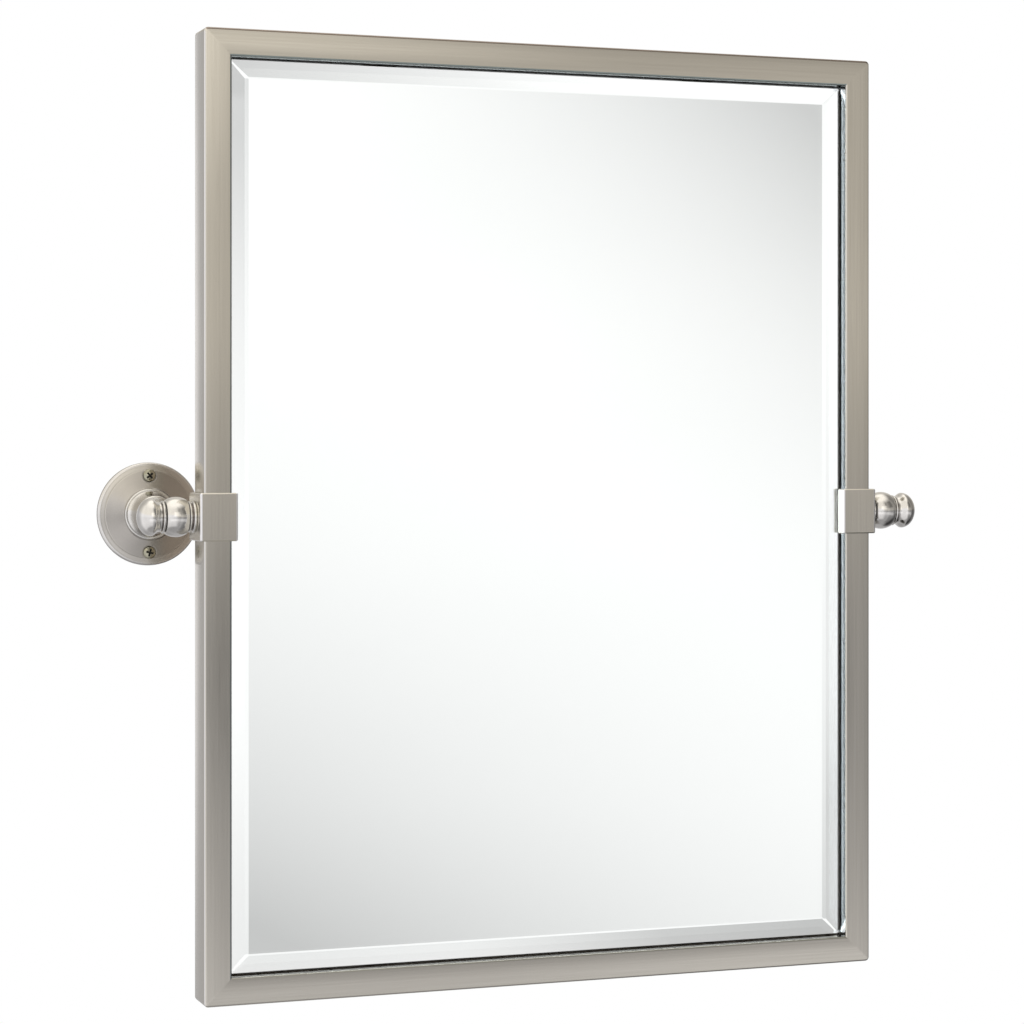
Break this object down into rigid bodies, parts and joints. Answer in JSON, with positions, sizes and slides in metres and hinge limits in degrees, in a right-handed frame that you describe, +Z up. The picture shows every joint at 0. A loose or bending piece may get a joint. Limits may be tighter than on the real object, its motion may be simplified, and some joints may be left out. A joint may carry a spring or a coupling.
{
  "type": "pivot wall mirror",
  "caption": "Rectangular wall mirror: bevelled glass in a slim brushed metal tube frame that tilts about a horizontal line between two turned posts on round wall flanges.",
  "frame": {"origin": "on the wall plane, midway between the two flanges, level with the tilt axis and in the centre of the four wall screws", "axes": "+X to the viewer's right, +Y into the wall, +Z up; the mirror faces -Y"},
  "size_m": [0.5544, 0.1295, 0.61],
  "materials": {
    "brushed_nickel": "brushed nickel over steel tube and plate",
    "satin_nickel": "satin turned nickel on the wall flanges",
    "polished_nickel": "polished nickel on the turned parts",
    "clear_glass": "clear float glass with a polished bevel",
    "silvering": "silvered, painted grey at the back",
    "tape_foam": "black foam mirror tape",
    "board": "pressed fibre board",
    "zinc_steel": "zinc plated steel",
    "nylon": "black nylon"
  },
  "bodies": {
    "wall_brackets": {"left_knuckle": "polished_nickel", "left_post": "polished_nickel", "left_flange": "satin_nickel", "left_post_screw": "zinc_steel", "left_wall_screws": "zinc_steel", "right_knuckle": "polished_nickel", "right_post": "polished_nickel", "right_flange": "satin_nickel", "right_post_screw": "zinc_steel", "right_wall_screws": "zinc_steel"},
    "mirror": {"top_rail": "brushed_nickel", "bottom_rail": "brushed_nickel", "left_stile": "brushed_nickel", "right_stile": "brushed_nickel", "mirror_glass": "clear_glass", "silver_coat": "silvering", "mounting_tape": "tape_foam", "backing_board": "board", "board_tabs": "zinc_steel", "tab_screws": "zinc_steel", "board_screws": "zinc_steel", "left_clip": "brushed_nickel", "left_pivot_nut": "zinc_steel", "left_pivot_stud": "zinc_steel", "left_collar": "polished_nickel", "left_washers": "nylon", "left_finial": "polished_nickel", "right_clip": "brushed_nickel", "right_pivot_nut": "zinc_steel", "right_pivot_stud": "zinc_steel", "right_collar": "polished_nickel", "right_washers": "nylon", "right_finial": "polished_nickel"}
  },
  "joints": [
    {"name": "tilt", "type": "hinge", "parent": "wall_brackets", "child": "mirror", "pos_m": [0, -0.084, 0], "axis": [1, 0, 0], "range_deg": [-13, 13]}
  ]
}
